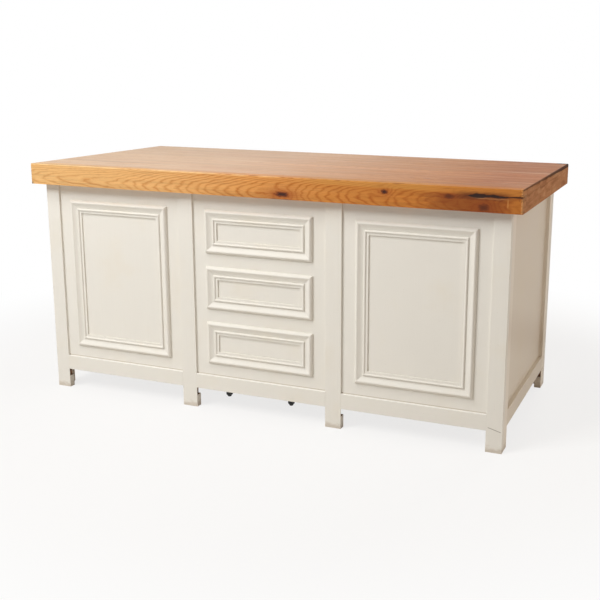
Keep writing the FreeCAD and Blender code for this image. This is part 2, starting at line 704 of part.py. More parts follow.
def save_doors():
    """Writes the doors with their hinges and knobs, the pins with the leaves on the stiles."""
    low_hinge, high_hinge = hinge_heights()
    fixed = []
    for side, place in (("right", lambda solid: solid), ("left", mirrored)):
        save(f"door_{side}", *[place(solid) for solid in door()])
        save(f"hinge_door_leaves_{side}", place(door_leaf(low_hinge)), place(door_leaf(high_hinge)))
        save(f"door_knob_{side}", place(knob(OUTER_BAY_LOW + FRONT_GAP + DOOR_MARGIN / 2,
                                             FRONT_HIGH - KNOB_DROP)))
        for low in (low_hinge, high_hinge):
            fixed += [place(frame_leaf(low)), place(hinge_pin(low))]
    save("hinge_frame_leaves", *fixed)


def save_feet():
    """Writes the levelling feet and their sockets."""
    save("levelling_foot_left", foot(FOOT_LEFT_X))
    save("levelling_foot_right", foot(FOOT_RIGHT_X))
    save("foot_sockets", foot_socket(FOOT_LEFT_X), foot_socket(FOOT_RIGHT_X))


os.makedirs("parts", exist_ok=True)
save_worktop()
save_front()
save_ends()
save_rear()
save_inside()
save_drawers()
save_doors()
save_feet()
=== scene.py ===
import json
import logging
import math
from dataclasses import dataclass
from enum import Enum
from typing import Any, Optional, Sequence, Union

import bpy
from mathutils import Matrix, Vector

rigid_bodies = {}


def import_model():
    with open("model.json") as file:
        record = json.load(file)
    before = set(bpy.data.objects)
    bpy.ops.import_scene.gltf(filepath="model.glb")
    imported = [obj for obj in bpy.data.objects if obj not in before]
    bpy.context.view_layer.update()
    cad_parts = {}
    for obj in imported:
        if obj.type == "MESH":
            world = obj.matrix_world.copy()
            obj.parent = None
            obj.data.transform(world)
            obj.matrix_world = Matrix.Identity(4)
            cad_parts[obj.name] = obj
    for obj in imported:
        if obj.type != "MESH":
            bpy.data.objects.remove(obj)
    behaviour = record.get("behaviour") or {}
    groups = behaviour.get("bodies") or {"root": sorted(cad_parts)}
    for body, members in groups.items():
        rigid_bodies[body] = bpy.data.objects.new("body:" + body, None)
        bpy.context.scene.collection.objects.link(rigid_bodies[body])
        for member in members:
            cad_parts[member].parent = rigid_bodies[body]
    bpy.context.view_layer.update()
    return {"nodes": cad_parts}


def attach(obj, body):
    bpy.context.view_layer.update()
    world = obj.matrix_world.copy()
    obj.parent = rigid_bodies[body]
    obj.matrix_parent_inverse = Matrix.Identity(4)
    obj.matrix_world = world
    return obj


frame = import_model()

log = logging.getLogger("island")

MM = 0.001
FRONT, REAR, END, UNDER, TOP = -450.0, 450.0, 950.0, 822.0, 900.0  # the worktop's faces
PLANK_JOINTS = (-405.0, -173.3, 58.3, 290.0)
FRAME_HALF, SIDE_FACE = 415.0, 910.0  # the cabinet's front frame and its ends
RAIL_TOP = 133.0
HOUSING_HEIGHTS, HOUSING_DEPTH = (46.4, 77.0), 10.6  # the housings under the rails, with a margin
Colour = tuple[float, float, float, float]
Point = tuple[float, float, float]
Socket = bpy.types.NodeSocket


def shade(red: int, green: int, blue: int) -> Colour:
    """Turn a paint-chart colour into the linear one that a node takes.

    Args:
        red: The red part, 0 to 255.
        green: The green part, 0 to 255.
        blue: The blue part, 0 to 255.

    Returns:
        The colour as four linear numbers.
    """
    parts = [value / 255 for value in (red, green, blue)]
    linear = [p / 12.92 if p <= 0.04045 else ((p + 0.055) / 1.055) ** 2.4 for p in parts]
    return (linear[0], linear[1], linear[2], 1.0)


class Signal:
    """A number that varies over a surface. Python's operators add the Math nodes."""

    def __init__(self, graph: "Graph", socket: Socket) -> None:
        """Wrap one output socket of a graph."""
        self.graph = graph
        self.socket = socket

    def __add__(self, other: "Number") -> "Signal":
        """Add a number or a signal."""
        return self.graph.maths("ADD", self, other)

    def __radd__(self, other: "Number") -> "Signal":
        """Be added to a number."""
        return self.graph.maths("ADD", other, self)

    def __sub__(self, other: "Number") -> "Signal":
        """Take a number or a signal away."""
        return self.graph.maths("SUBTRACT", self, other)

    def __rsub__(self, other: "Number") -> "Signal":
        """Be taken away from a number."""
        return self.graph.maths("SUBTRACT", other, self)

    def __mul__(self, other: "Number") -> "Signal":
        """Multiply by a number or a signal."""
        return self.graph.maths("MULTIPLY", self, other)

    def __rmul__(self, other: "Number") -> "Signal":
        """Multiply a number."""
        return self.graph.maths("MULTIPLY", other, self)

    def __truediv__(self, other: "Number") -> "Signal":
        """Divide by a number or a signal."""
        return self.graph.maths("DIVIDE", self, other)

    def __rtruediv__(self, other: "Number") -> "Signal":
        """Divide a number."""
        return self.graph.maths("DIVIDE", other, self)

    def __pow__(self, power: float) -> "Signal":
        """Raise to a power."""
        return self.graph.maths("POWER", self, power)

    def __neg__(self) -> "Signal":
        """Turn the sign round."""
        return self.graph.maths("MULTIPLY", self, -1.0)

    def __abs__(self) -> "Signal":
        """Drop the sign."""
        return self.graph.maths("ABSOLUTE", self)


Number = Union[Signal, float]
Feed = Union[Signal, Socket, float, Sequence[float]]


class Graph:
    """The nodes of a material or a sky, and the few patterns that every finish is made from."""

    def __init__(self, name: str, sky: bool = False) -> None:
        """Start an empty material, or an empty sky.

        Args:
            name: The material's or the sky's name.
            sky: Whether it is a sky.
        """
        self.material = bpy.data.worlds.new(name) if sky else bpy.data.materials.new(name)
        self.material.use_nodes = True
        self.tree = self.material.node_tree
        self.tree.nodes.clear()
        if sky:
            return
        self.object_place = self.node("ShaderNodeTexCoord").outputs["Object"]
        parts = self.node("ShaderNodeSeparateXYZ", {}, {0: self.object_place})
        self.x, self.y, self.z = (Signal(self, out) / MM for out in parts.outputs)

    def node(
        self,
        kind: str,
        settings: Optional[dict[str, Any]] = None,
        inputs: Optional[dict[Union[str, int], Feed]] = None,
    ) -> bpy.types.Node:
        """Add one node, its settings first and then its sockets.

        Args:
            kind: The node's type.
            settings: Its properties by name, with "stops" for a ramp's colours.
            inputs: Values or links by socket name or number.

        Returns:
            The new node.
        """
        made = self.tree.nodes.new(kind)
        for name, value in (settings or {}).items():
            if name == "stops":
                self._set_stops(made.color_ramp, value)
            else:
                setattr(made, name, value)
        for key, value in (inputs or {}).items():
            socket = made.inputs[key]
            if isinstance(value, Signal):
                self.tree.links.new(value.socket, socket)
            elif isinstance(value, Socket):
                self.tree.links.new(value, socket)
            else:
                socket.default_value = value
        return made

    @staticmethod
    def _set_stops(ramp: bpy.types.ColorRamp, stops: Sequence[tuple[float, Colour]]) -> None:
        """Give a ramp its stops, in order.

        Args:
            ramp: The ramp, which starts with two stops.
            stops: A place from 0 to 1 and a colour for each stop.
        """
        while len(ramp.elements) < len(stops):
            ramp.elements.new(0.5)
        for element, (position, colour) in zip(ramp.elements, stops):
            element.position = position
            element.color = colour

    def seen(self) -> Signal:
        """Be 1 where the camera, a reflection or a clear material looks, and 0 for light."""
        path = self.node("ShaderNodeLightPath")
        names = ("Is Camera Ray", "Is Glossy Ray", "Is Transmission Ray")
        looks = [Signal(self, path.outputs[name]) for name in names]
        return self.maths("MAXIMUM", self.maths("MAXIMUM", looks[0], looks[1]), looks[2])

    def maths(self, operation: str, *values: Number) -> Signal:
        """Add a Math node.

        Args:
            operation: The node's operation.
            values: Its numbers or signals, in order.

        Returns:
            The result as a signal.
        """
        made = self.node("ShaderNodeMath", {"operation": operation}, dict(enumerate(values)))
        return Signal(self, made.outputs[0])

    def noise(self, period: Point, seed: float, detail: float = 2.0, twist: float = 0.0) -> Signal:
        """Add noise that is stretched along the axes.

        Args:
            period: The size of its blobs along x, y and z, in millimetres.
            seed: Moves the pattern, so that two pieces differ.
            detail: How many finer layers it has.
            twist: How far it is distorted.

        Returns:
            A signal round 0.5, from 0 to 1.
        """
        scale = [1 / (size * MM) for size in period]
        shift = (seed, seed * 1.7, seed * 0.6)
        place = self.node(
            "ShaderNodeMapping",
            {"vector_type": "POINT"},
            {"Vector": self.object_place, "Location": shift, "Scale": scale},
        )
        made = self.node(
            "ShaderNodeTexNoise",
            {"noise_dimensions": "3D"},
            {"Vector": place.outputs[0], "Scale": 1.0, "Detail": detail, "Distortion": twist},
        )
        return Signal(self, made.outputs[0])

    def rise(self, value: Signal, low: float, high: float) -> Signal:
        """Rise softly from 0 at low to 1 at high.

        Args:
            value: The signal to read.
            low: Where the rise starts.
            high: Where it ends.

        Returns:
            The rise as a signal.
        """
        made = self.node(
            "ShaderNodeMapRange",
            {"interpolation_type": "SMOOTHSTEP", "clamp": True},
            {"Value": value, "From Min": low, "From Max": high},
        )
        return Signal(self, made.outputs[0])

    def window(self, value: Signal, low: float, high: float, soft: float) -> Signal:
        """Be 1 between low and high and 0 outside.

        Args:
            value: The signal to read.
            low: The lower side.
            high: The upper side.
            soft: How wide each side's slope is.

        Returns:
            The window as a signal.
        """
        inside = self.rise(value, low - soft / 2, low + soft / 2)
        return inside * (1.0 - self.rise(value, high - soft / 2, high + soft / 2))

    def ramp(self, value: Signal, stops: Sequence[tuple[float, float]]) -> Signal:
        """Reshape a signal with a ramp of greys.

        Args:
            value: The signal to read, from 0 to 1.
            stops: A place and a level for each stop.

        Returns:
            The level as a signal.
        """
        greys = [(place, (level, level, level, 1.0)) for place, level in stops]
        made = self.node("ShaderNodeValToRGB", {"stops": greys}, {0: value})
        return Signal(self, made.outputs[0])

    def blend(self, factor: Number, first: Feed, second: Feed, mode: str = "MIX") -> Socket:
        """Mix two colours.

        Args:
            factor: The share of the second.
            first: The first colour.
            second: The second colour.
            mode: The blend's mode.

        Returns:
            The mixed colour's socket.
        """
        settings = {"data_type": "RGBA", "blend_type": mode, "clamp_factor": True}
        return self.node("ShaderNodeMix", settings, {0: factor, 6: first, 7: second}).outputs[2]

    def dim(self, colour: Feed, level: Signal) -> Socket:
        """Multiply a colour by a level.

        Args:
            colour: The colour.
            level: A signal round 1.

        Returns:
            The new colour's socket.
        """
        grey = self.node("ShaderNodeCombineXYZ", {}, {0: level, 1: level, 2: level})
        feeds = {0: colour, 1: grey.outputs[0]}
        return self.node("ShaderNodeVectorMath", {"operation": "MULTIPLY"}, feeds).outputs[0]

    def relief(self, height: Signal, depth: float) -> Socket:
        """Turn a height into a normal.

        Args:
            height: The height, 1 being one depth up.
            depth: The size of a height of 1, in millimetres.

        Returns:
            The normal's socket.
        """
        feeds = {"Strength": 1.0, "Distance": depth * MM, "Height": height}
        return self.node("ShaderNodeBump", {}, feeds).outputs[0]

    def show_white(self, share: Number, below: Socket, kind: str, out: str) -> None:
        """Close the graph with a shader that is plain white for a share of what is seen.

        Args:
            share: How much of it is white.
            below: The shader that lights and takes the rest.
            kind: The white shader's type.
            out: The output node's type.
        """
        white = self.node(kind, {}, {"Color": (1.0, 1.0, 1.0, 1.0), "Strength": 1.0})
        mixed = self.node("ShaderNodeMixShader", {}, {0: share, 1: below, 2: white.outputs[0]})
        self.node(out, {}, {"Surface": mixed.outputs[0]})

    def surface(
        self,
        colour: Feed,
        rough: Number,
        normal: Feed,
        metallic: float = 0.0,
        fixed: Optional[dict[str, float]] = None,
    ) -> bpy.types.Material:
        """Close the graph with one plain shader.

        Args:
            colour: The base colour.
            rough: The roughness.
            normal: The normal's socket.
            metallic: 1 for a metal.
            fixed: Numbers for other sockets by name.

        Returns:
            The finished material.
        """
        sockets = {"Base Color": colour, "Roughness": rough, "Metallic": metallic, "Normal": normal}
        sockets.update(fixed or {})
        shader = self.node("ShaderNodeBsdfPrincipled", {}, sockets)
        self.node("ShaderNodeOutputMaterial", {}, {"Surface": shader.outputs[0]})
        return self.material


class Coat:
    """What a finish has reached so far: its graph, its colour and its height."""

    def __init__(self, graph: Graph, colour: Feed, height: Signal) -> None:
        """Start from a bare colour and height."""
        self.graph, self.colour, self.height = graph, colour, height

    def stain(self, *stains: tuple[Number, Feed]) -> None:
        """Lay stains over the colour, one after another.

        Args:
            stains: How much of each shows, and its colour.
        """
        for shown, tint in stains:
            self.colour = self.graph.blend(shown, self.colour, tint)

    def sink(self, mask: Signal, depth: float) -> None:
        """Lower the height by a depth where a mask shows."""
        self.height = self.height - mask * depth

    def surface(self, rough: Number, depth: float, gloss: float) -> bpy.types.Material:
        """Close the graph.

        Args:
            rough: The roughness.
            depth: The size of a height of 1, in millimetres.
            gloss: The level of its plain reflections.

        Returns:
            The finished material.
        """
        normal = self.graph.relief(self.height, depth)
        fixed = {"Specular IOR Level": gloss}
        return self.graph.surface(self.colour, rough, normal, fixed=fixed)


@dataclass(frozen=True)
class Knot:
    """A knot in the front edge of the worktop, in millimetres."""

    x: float
    z: float
    eye: float
    long: float
    pull: float
    glow: float = 0.6


@dataclass(frozen=True)
class OakTints:
    """The colours of the oak and of its marks."""

    heart: tuple[tuple[float, Colour], ...] = (
        (0.0, shade(224, 180, 120)),
        (0.3, shade(221, 171, 110)),
        (0.5, shade(212, 150, 82)),
        (0.66, shade(196, 129, 59)),
        (0.81, shade(186, 117, 48)),
        (0.93, shade(165, 93, 35)),
        (1.0, shade(172, 101, 40)),
    )
    ring: Colour = (0.66, 0.43, 0.23, 1.0)
    pore: Colour = (0.42, 0.3, 0.22, 1.0)
    # The paler top's tint: partly bleached oak, partly painted sheen.
    bleach_and_sheen: Colour = shade(214, 188, 164)
    streaks: tuple[Colour, ...] = (
        shade(146, 110, 86), shade(206, 148, 118), shade(236, 216, 188), shade(112, 76, 54)
    )
    joint: Colour = shade(96, 62, 40)
    knot_glow: Colour = shade(150, 66, 22)
    knot_eye: Colour = shade(98, 42, 18)
    knot_crack: Colour = shade(38, 17, 10)
    stain: Colour = shade(112, 54, 18)
    upper: Colour = shade(202, 134, 58)
    block: Colour = shade(196, 124, 50)
    seam: Colour = shade(222, 160, 90)
    gold: Colour = shade(206, 152, 76)
    burnt: Colour = shade(92, 44, 18)
    split: Colour = shade(34, 16, 9)
    # Painted highlight on the split's lower lip.
    lip_highlight: Colour = shade(204, 140, 84)
    chip: Colour = shade(78, 40, 18)
    foot: Colour = shade(96, 58, 24)
    # Painted highlight on the top front arris.
    bright: Colour = shade(246, 214, 158)
    # The broken darker line along the lower arris.
    dark_lower_arris: Colour = shade(70, 36, 18)
    # Painted highlight on the right corner's vertical arris.
    corner: Colour = shade(222, 170, 112)
    fleck: Colour = shade(132, 76, 34)
    sawn: Colour = shade(198, 150, 112)
    sawn_dark: Colour = shade(142, 90, 56)
    sawn_light: Colour = shade(216, 172, 130)
    under: Colour = shade(56, 28, 15)
    sawn_seam: Colour = shade(112, 66, 40)
    black: Colour = shade(32, 18, 12)
    edge: Colour = shade(70, 44, 30)


@dataclass(frozen=True)
class OakBoard:
    """Oiled oak with its rings, pores and tone, for one board laid along x.

    The pith lies at (pith_y, pith_z) and leans along x, so that the faces show the
    tongues of the rings as a sawn board does. Left of flat_from the board is sawn
    nearly along the rings, and they run out into long lines. Each noise adds a number
    of its own to the board's seed, so that no two patterns line up.
    """

    name: str
    pith_y: float
    pith_z: float
    lean: float
    seed: float
    ring: float = 3.1
    tone: float = 1.0
    # How much paler the top is: partly bleached oak, partly painted sheen.
    bleach_and_sheen_share: float = 0.0
    flat_from: float = -2000.0
    knots: tuple[Knot, ...] = ()
    lipping: bool = False
    rough: float = 0.42
    relief: float = 0.22
    gloss: float = 0.25
    tints: OakTints = OakTints()

    def material(self) -> bpy.types.Material:
        """Build the board's material.

        Returns:
            The finished material.
        """
        graph = Graph(self.name)
        x, z = graph.x, graph.z
        halos, eyes, stars = self._knots(graph)
        rings = self._rings(graph, halos)
        streak = graph.noise((260, 5, 5), self.seed + 11, 3.0)
        broad = graph.noise((620, 26, 26), self.seed + 13, 2.0, 0.5)
        pores = graph.rise(graph.noise((26, 0.8, 0.8), self.seed + 17), 0.58, 0.72)

        colour = self._heartwood(graph, x + (broad - 0.5) * 260)
        level = 1.1 + (streak - 0.5) * 0.42 - graph.rise(broad, 0.5, 0.75) * 0.2
        colour = graph.dim(colour, level * self.tone)
        firm = rings * (0.8 + graph.rise(x, -500, 0) * 0.2)
        colour = graph.blend(firm, colour, self.tints.ring, "MULTIPLY")
        colour = graph.blend(pores * 0.45, colour, self.tints.pore, "MULTIPLY")
        coat = Coat(graph, colour, 0.5 - rings * 0.35 - pores * 0.6 + streak * 0.3)
        upward = graph.rise(z, TOP - 1.2, TOP - 0.2)
        # Paler top, fading to the right: partly bleached oak, partly painted sheen of the top's
        # reflection.
        bleach_and_sheen = upward * (1.0 - graph.rise(x, -500, 1000) * 0.84) * self.bleach_and_sheen_share
        coat.stain((bleach_and_sheen, self.tints.bleach_and_sheen))
        self._top_marks(coat, upward)
        for knot, halo in zip(self.knots, halos):
            coat.stain((halo * knot.glow, self.tints.knot_glow))
        if eyes is not None and stars is not None:
            coat.stain((eyes * 0.8, self.tints.knot_eye), (stars * 0.85, self.tints.knot_crack))
            coat.sink(stars, 1.6)
        if self.lipping:
            self._front_marks(coat)
        self._end_marks(coat)
        sawn = graph.rise(abs(x), END - 3.5, END - 1) * 0.4 + graph.rise(x, -300, 900) * 0.16
        patches = graph.noise((90, 40, 40), self.seed + 23)
        rough = self.rough + sawn + pores * 0.2 + (patches - 0.5) * 0.2
        return coat.surface(rough, self.relief, self.gloss)

    def _rings(self, graph: Graph, halos: Sequence[Signal]) -> Signal:
        """Draw the year rings round the leaning pith, drawn aside at the knots.

        Args:
            graph: The board's graph.
            halos: A mask for the wood round each knot.

        Returns:
            The rings' tone, 1 in the latewood.
        """
        wander = (graph.noise((420, 70, 70), self.seed) - 0.5) * 11
        ripple = (graph.noise((52, 14, 14), self.seed + 3) - 0.5) * 3.4
        squares = (graph.y - self.pith_y) ** 2 + (graph.z - self.pith_z) ** 2
        along = graph.maths("MAXIMUM", graph.x, self.flat_from) * self.lean + graph.x * 0.03
        rings = graph.maths("SQRT", squares) - along + wander + ripple
        for knot, halo in zip(self.knots, halos):
            rings = rings + halo * knot.pull
        turn = graph.maths("FRACT", rings / self.ring)
        levels = ((0.0, 0.95), (0.1, 0.6), (0.3, 0.12), (0.72, 0.16), (0.94, 0.75), (1.0, 0.95))
        patches = graph.noise((230, 24, 24), self.seed + 7)
        return graph.ramp(turn, levels) * graph.ramp(patches, ((0.3, 0.55), (0.6, 1.0)))

    def _heartwood(self, graph: Graph, x: Signal) -> Socket:
        """Colour the oak, golden at the left and darkening to brown at the right.

        Args:
            graph: The board's graph.
            x: The place along the worktop.

        Returns:
            The colour's socket.
        """
        place = graph.maths("MULTIPLY_ADD", x, 0.5 / END, 0.5)
        settings = {"stops": self.tints.heart}
        return graph.node("ShaderNodeValToRGB", settings, {0: place}).outputs[0]

    def _top_marks(self, coat: Coat, upward: Signal) -> None:
        """Add what the top shows: grey-brown, rosy, pale and short dark streaks, and the joints.

        Args:
            coat: The board's coat.
            upward: The mask of the top.
        """
        graph = coat.graph
        brown = graph.rise(graph.noise((520, 15, 15), self.seed + 43, 3.0, 0.4), 0.5, 0.68)
        rosy = graph.rise(graph.noise((340, 22, 22), self.seed + 47, 2.0), 0.5, 0.7)
        pale = graph.rise(graph.noise((600, 12, 12), self.seed + 49, 3.0), 0.54, 0.7)
        dark = graph.rise(graph.noise((120, 6.5, 6.5), self.seed + 51, 2.0), 0.66, 0.76)
        dark = dark * (0.4 + graph.rise(graph.x, 100, 900) * 0.35)
        masks = (brown * 0.42, rosy * 0.26, pale * 0.34, dark)
        coat.stain(*zip((upward * mask for mask in masks), self.tints.streaks))
        for joint in PLANK_JOINTS:
            line = 1.0 - graph.rise(abs(graph.y - joint), 0.4, 1.6)
            coat.stain((upward * line * 0.32, self.tints.joint))

    def _knots(self, graph: Graph) -> tuple[list[Signal], Optional[Signal], Optional[Signal]]:
        """Draw the knots: the wood that flows round them, their eyes and their cracks.

        Args:
            graph: The board's graph.

        Returns:
            A mask for each knot's flow, the eyes' mask, and the mask of the cracks.
        """
        eyes: Optional[Signal] = None
        stars: Optional[Signal] = None
        halos: list[Signal] = []
        if not self.knots:
            return halos, eyes, stars
        rag = (graph.noise((11, 9, 6), self.seed + 29, 3.0) - 0.5) * 1.1
        torn = (graph.noise((9, 5, 4), self.seed + 35, 4.0, 0.8) - 0.5) * 2.6
        for knot in self.knots:
            along = (graph.x - knot.x) / knot.long
            up = graph.z - knot.z
            reach = graph.maths("SQRT", along**2 + up**2) / knot.eye
            halos.append(graph.maths("EXPONENT", -(((reach + rag * 0.8) / 2.4) ** 2)))
            eye = 1.0 - graph.rise(reach + rag, 0.75, 1.35)
            turn = graph.maths("ARCTAN2", up, along) * 4.0 + knot.x + torn * 2.4
            spoke = graph.rise(graph.maths("COSINE", turn) + torn * 0.5, 0.7, 1.1)
            star = spoke * (1.0 - graph.rise(reach + torn * 0.5, 0.6, 1.5))
            heart = 1.0 - graph.rise(reach + torn * 0.45, 0.35, 0.8)
            crack = graph.maths("MAXIMUM", star, heart)
            eyes = eye if eyes is None else graph.maths("MAXIMUM", eyes, eye)
            stars = crack if stars is None else graph.maths("MAXIMUM", stars, crack)
        return halos, eyes, stars

    def _front_marks(self, coat: Coat) -> None:
        """Add what the front edge shows: stained and golden parts, the split, and the arrises'
        wear and painted highlights.

        Args:
            coat: The board's coat.
        """
        graph, tints = coat.graph, self.tints
        x, z = graph.x, graph.z
        rag = graph.noise((30, 10, 8), self.seed + 31, 3.0)
        shift = rag - 0.5
        low = 1.0 - graph.rise(z + shift * 14, 872, 880)
        stain = graph.window(x + shift * 160, 640, 900, 130) * low
        upper = graph.rise(x, 380, 720) * graph.rise(z + shift * 8, 874, 884)
        block = graph.rise(x + shift * 40, 890, 925) * (1.0 - graph.rise(z, 862, 874))
        seam = graph.window(x, 899.5, 903.5, 2.0) * graph.window(z, 840, 868, 10)
        reach = graph.rise(x, 120, 300) * (1.0 - graph.rise(x, 560, 760))
        gold = reach * graph.rise(z + shift * 9, 880, 886)
        coat.stain(
            (stain * 0.5, tints.stain),
            (upper * 0.55, tints.upper),
            (block * 0.45, tints.block),
            (seam * 0.4, tints.seam),
            (gold * 0.4, tints.gold),
        )
        self._split(coat, shift)

        fine = graph.noise((7, 7, 7), self.seed + 37, 3.0)
        knocked = graph.rise(fine + graph.window(z, 862, 884, 14) * 0.16, 0.6, 0.7)
        chip = graph.rise(x, END - 20, END - 4) * knocked
        low = 1.0 - graph.rise(z + (fine - 0.5) * 14, UNDER + 4, UNDER + 12)
        foot = graph.rise(-x, END - 14, END - 4) * low
        coat.stain((chip * 0.7, tints.chip), (foot * 0.75, tints.foot))
        coat.sink(chip, 3.0)
        coat.sink(foot, 3.0)
        self._arris_wear_and_highlights(coat, fine, chip)

    def _split(self, coat: Coat, shift: Signal) -> None:
        """Open the split at the right end of the front edge, with the wood burnt round it
        and a painted highlight on its lower lip.

        Args:
            coat: The board's coat.
            shift: A soft noise round 0.
        """
        graph, tints = coat.graph, self.tints
        x, z = graph.x, graph.z
        ragged = graph.noise((17, 9, 7), self.seed + 33, 4.0)
        middle = 873.5 + (x - 772) * 0.004 + shift * 7.0 + (ragged - 0.5) * 6.0
        swell = graph.rise(x, 762, 800) * 9.0 - graph.rise(x, 800, 838) * 5.0
        swell = swell - graph.rise(x, 850, 940) * 1.6 + (ragged - 0.5) * 9.0
        half = graph.maths("MAXIMUM", swell, 0.4)
        away = abs(z - middle)
        split = graph.window(x, 764, 952, 10) * (1.0 - graph.rise(away / half, 0.55, 1.15))
        burnt = graph.window(x, 740, 905, 70) * (1.0 - graph.rise(away, 5, 18)) * 0.75
        # Painted highlight along the split's lower lip.
        lip_highlight = graph.window(x, 800, 900, 40) * graph.window(z - middle, -9.5, -5.0, 2.5)
        coat.stain((burnt, tints.burnt), (split * 0.96, tints.split), (lip_highlight * 0.35, tints.lip_highlight))
        coat.sink(split, 5.0)

    def _arris_wear_and_highlights(self, coat: Coat, fine: Signal, chip: Signal) -> None:
        """Mark the front edge's arrises: painted highlights on the top and corner arrises, a
        broken dark line along the lower arris, and worn dark flecks.

        Args:
            coat: The board's coat.
            fine: A fine noise.
            chip: The mask of the chips at the right end.
        """
        graph, tints = coat.graph, self.tints
        x, y, z = graph.x, graph.y, graph.z
        arris = graph.rise(z, TOP - 7, TOP - 1) * (1.0 - graph.rise(y, FRONT + 1, FRONT + 6))
        broken = graph.noise((75, 9, 5), self.seed + 39, 3.0)
        # Painted highlight along the top front arris, fading to the right and broken up.
        bright = arris * (1.0 - graph.rise(x, -60, 260)) * graph.rise(broken, 0.4, 0.55)
        # A broken darker line along the lower arris of the front edge.
        dark_lower_arris = (1.0 - graph.rise(z, UNDER + 2, UNDER + 7)) * graph.rise(x, -40, 120)
        dark_lower_arris = dark_lower_arris * graph.rise(broken, 0.5, 0.62)
        # Painted highlight on the vertical arris of the right end's corner.
        corner = graph.rise(x, END - 9, END - 4) * (1.0 - graph.rise(y, FRONT + 3, FRONT + 7))
        corner = corner * graph.rise(fine, 0.36, 0.5) * (1.0 - chip)
        flecks = graph.rise(z, TOP - 14, TOP - 4) * graph.rise(x, -420, 60)
        flecks = flecks * graph.rise(1.0 - broken, 0.58, 0.7)
        coat.stain(
            (bright * 0.5, tints.bright),
            (dark_lower_arris * 0.6, tints.dark_lower_arris),
            (corner * 0.55, tints.corner),
            (flecks * 0.55, tints.fleck),
        )

    def _end_marks(self, coat: Coat) -> None:
        """Add what the right end shows: end grain, a dark line under its arris, a burnt corner.

        Args:
            coat: The board's coat.
        """
        graph, tints = coat.graph, self.tints
        x, y, z = graph.x, graph.y, graph.z
        end = graph.rise(abs(x), END - 3.5, END - 1)
        right = graph.rise(x, END - 6, END - 2)
        mottle = graph.noise((40, 95, 15), self.seed + 41, 4.0, 0.5)
        shift = mottle - 0.5
        depth = 3.2 + graph.rise(y, FRONT, 440) * 8.0 + shift * 8.0
        under = right * graph.rise(z + depth, TOP - 2.5, TOP + 0.5)
        darker = 0.6 + graph.rise(y, -300, 200) * 0.3
        seam = right * graph.window(z - 876.0 + shift * 22, -1.8, 1.8, 2.4)
        corner = graph.rise(x + shift * 20, 900, 918) * graph.rise(y + shift * 10, 420, 428)
        corner = corner * graph.rise(z, TOP - 12, TOP - 4)
        edge = graph.rise(y, REAR - 9, REAR - 4) * graph.rise(abs(x), END - 20, END - 4)
        coat.stain(
            (end * 0.62, tints.sawn),
            (end * graph.rise(mottle, 0.48, 0.68) * 0.5, tints.sawn_dark),
            (end * graph.rise(1.0 - mottle, 0.54, 0.7) * 0.45, tints.sawn_light),
            (under * darker, tints.under),
            (seam * graph.rise(-y, -330, -90) * 0.35, tints.sawn_seam),
            (corner * 0.92, tints.black),
            (edge * 0.75, tints.edge),
        )
        coat.sink(under, 1.2)


class Grain(Enum):
    """The way a painted board's brush marks and grain run."""

    UPRIGHT = (2.2, 2.2, 210.0)
    ALONG_X = (210.0, 2.2, 2.2)
    ALONG_Y = (2.2, 210.0, 2.2)


class Cut(Enum):
    """Which edges of a painted leg have open housings, with raw wood in them."""

    NONE = 0
    ACROSS_X = 1
    ACROSS_Y = 2


